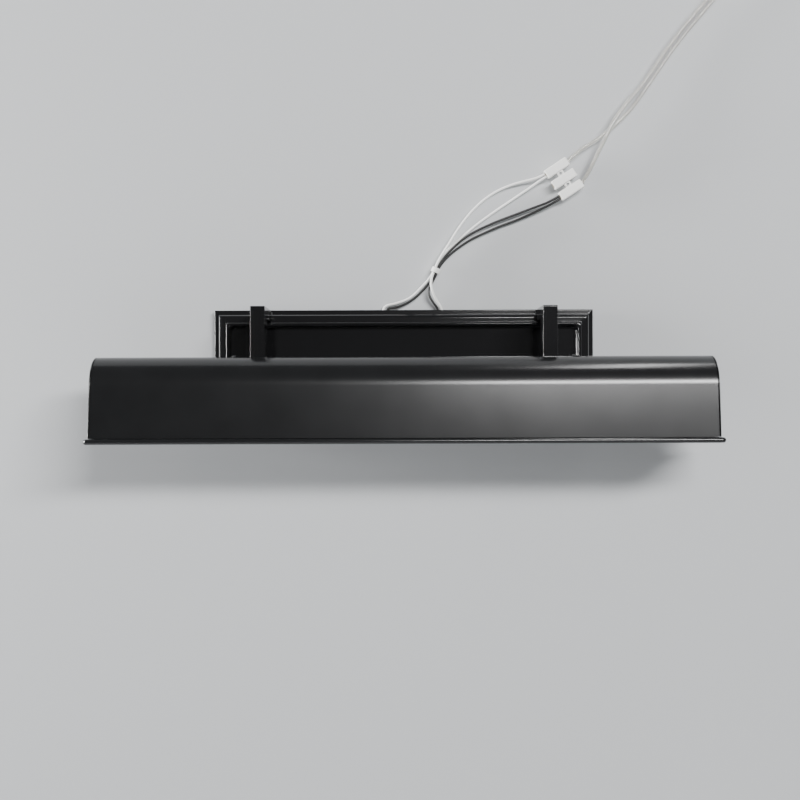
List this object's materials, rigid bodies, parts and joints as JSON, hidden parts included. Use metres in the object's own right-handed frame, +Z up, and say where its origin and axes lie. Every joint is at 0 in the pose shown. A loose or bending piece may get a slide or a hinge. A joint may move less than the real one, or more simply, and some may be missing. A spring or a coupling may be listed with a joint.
{
  "type": "picture light",
  "caption": "Wall-mounted picture light: a tilting black trough shade over tubular lamps, on hollow arms from a moulded back plate, with leads and a terminal block.",
  "frame": {"origin": "middle of the wall bracket's back face, on the wall", "axes": "+X along the shade to its right end, +Y into the wall, +Z up; the light stands out towards -Y"},
  "size_m": [0.4811, 0.1111, 0.3608],
  "materials": {
    "satin_black": "satin black powder coat",
    "gloss_black": "glossy black paint",
    "zinc_steel": "zinc-plated steel",
    "brass": "plain turned brass",
    "white_plastic": "moulded white plastic",
    "opal_glass": "opal glass, unlit",
    "white_lead": "white PVC insulation",
    "black_lead": "black PVC insulation",
    "clear_pvc": "clear PVC insulation over tinned wire"
  },
  "bodies": {
    "fixture": {"wall_bracket": "zinc_steel", "backplate": "gloss_black", "wall_screw_left": "zinc_steel", "mounting_stud_left": "zinc_steel", "cap_nut_left": "gloss_black", "arm_left": "gloss_black", "arm_screw_left": "zinc_steel", "pivot_pin_left": "brass", "arm_lead_white_left": "white_lead", "arm_lead_black_left": "black_lead", "wall_screw_right": "zinc_steel", "mounting_stud_right": "zinc_steel", "cap_nut_right": "gloss_black", "arm_right": "gloss_black", "arm_screw_right": "zinc_steel", "pivot_pin_right": "brass", "arm_lead_white_right": "white_lead", "arm_lead_black_right": "black_lead", "pivot_nut_left_inner": "brass", "pivot_nut_left_outer": "brass", "pivot_nut_right_inner": "brass", "pivot_nut_right_outer": "brass", "lead_white_left": "white_lead", "lead_black_left": "black_lead", "lead_white_right": "white_lead", "lead_black_right": "black_lead", "supply_core_upper": "clear_pvc", "supply_core_lower": "clear_pvc", "lead_tie": "white_plastic", "terminal_block": "white_plastic", "terminal_insert_upper": "brass", "terminal_insert_middle": "brass", "terminal_insert_lower": "brass", "outlet_cover": "white_plastic", "outlet_screw": "zinc_steel"},
    "shade": {"shade_shell": "satin_black", "rim_frame": "satin_black", "end_cap_left": "satin_black", "hinge_saddle_left": "zinc_steel", "lamp_carrier_left": "zinc_steel", "carrier_screw_left": "satin_black", "carrier_nut_left": "zinc_steel", "lampholder_left": "white_plastic", "holder_nut_left": "zinc_steel", "lamp_cap_left": "zinc_steel", "lamp_glass_left": "opal_glass", "holder_lead_white_left": "white_lead", "holder_lead_black_left": "black_lead", "end_cap_right": "satin_black", "hinge_saddle_right": "zinc_steel", "lamp_carrier_right": "zinc_steel", "carrier_screw_right": "satin_black", "carrier_nut_right": "zinc_steel", "lampholder_right": "white_plastic", "holder_nut_right": "zinc_steel", "lamp_cap_right": "zinc_steel", "lamp_glass_right": "opal_glass", "holder_lead_white_right": "white_lead", "holder_lead_black_right": "black_lead"}
  },
  "joints": [
    {"name": "shade_tilt", "type": "hinge", "parent": "fixture", "child": "shade", "pos_m": [0, -0.04975, -0.012], "axis": [1, 0, 0], "range_deg": [-10, 25]}
  ]
}
